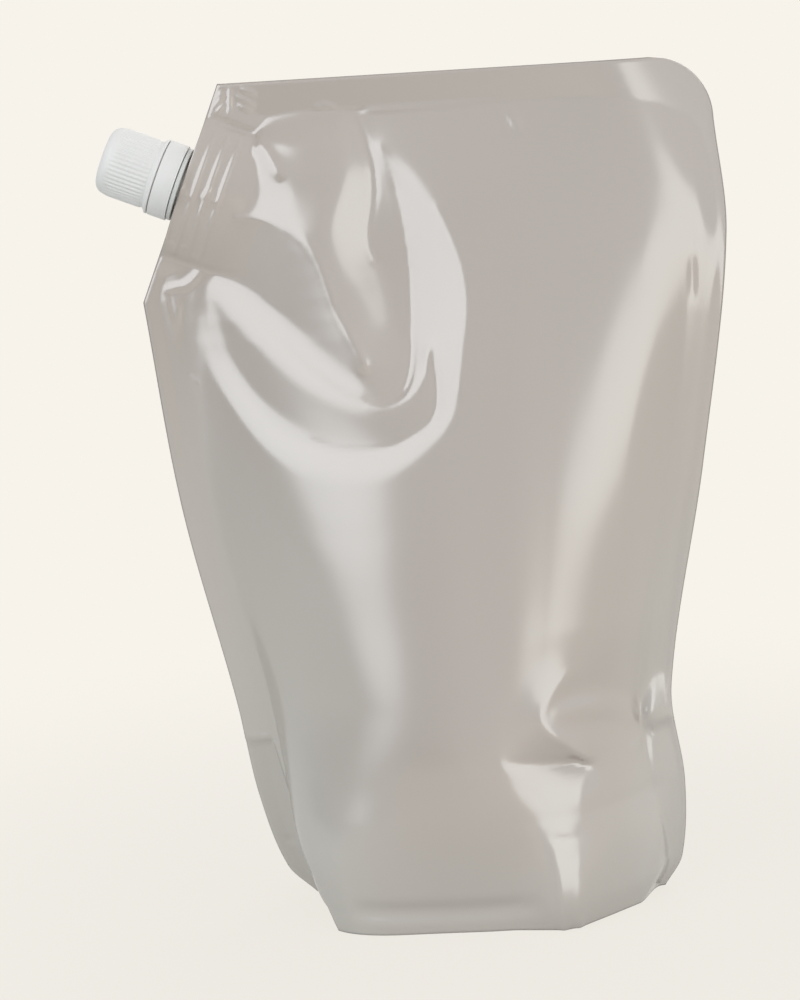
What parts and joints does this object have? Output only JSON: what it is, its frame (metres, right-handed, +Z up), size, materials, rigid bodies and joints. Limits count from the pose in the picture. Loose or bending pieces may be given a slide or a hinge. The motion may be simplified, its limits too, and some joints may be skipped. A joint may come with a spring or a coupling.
{
  "type": "hand soap refill pouch",
  "caption": "Filled stand-up pouch of satin film with sealed edges, a slanted corner with a screw-capped pouring spout, a tamper band, and a flat base that it stands on.",
  "frame": {"origin": "middle of the base, on the surface that the pouch stands on", "axes": "+Z up, +X to the right seen from the front, -Y towards the viewer of the front panel"},
  "size_m": [0.1988, 0.0832, 0.27],
  "materials": {
    "film": "satin pearl laminate film, warm grey",
    "spout_plastic": "moulded natural white plastic",
    "cap_plastic": "moulded white plastic"
  },
  "bodies": {
    "pack": {"pouch": "film", "spout": "spout_plastic"},
    "band": {"tamper_band": "cap_plastic"},
    "cap": {"cap": "cap_plastic"}
  },
  "joints": [
    {"name": "cap_turn", "type": "hinge", "parent": "pack", "child": "band", "pos_m": [-0.08421, 0, 0.23889], "axis": [-0.9205, 0, 0.3907], "range_deg": [0, 540]},
    {"name": "cap_lift", "type": "slide", "parent": "band", "child": "cap", "axis": [-0.9205, 0, 0.3907], "range_m": [0, 0.006]}
  ],
  "couplings": [
    {"joint": "cap_lift", "follows": "cap_turn", "m_per_rad": 0.00063662}
  ]
}
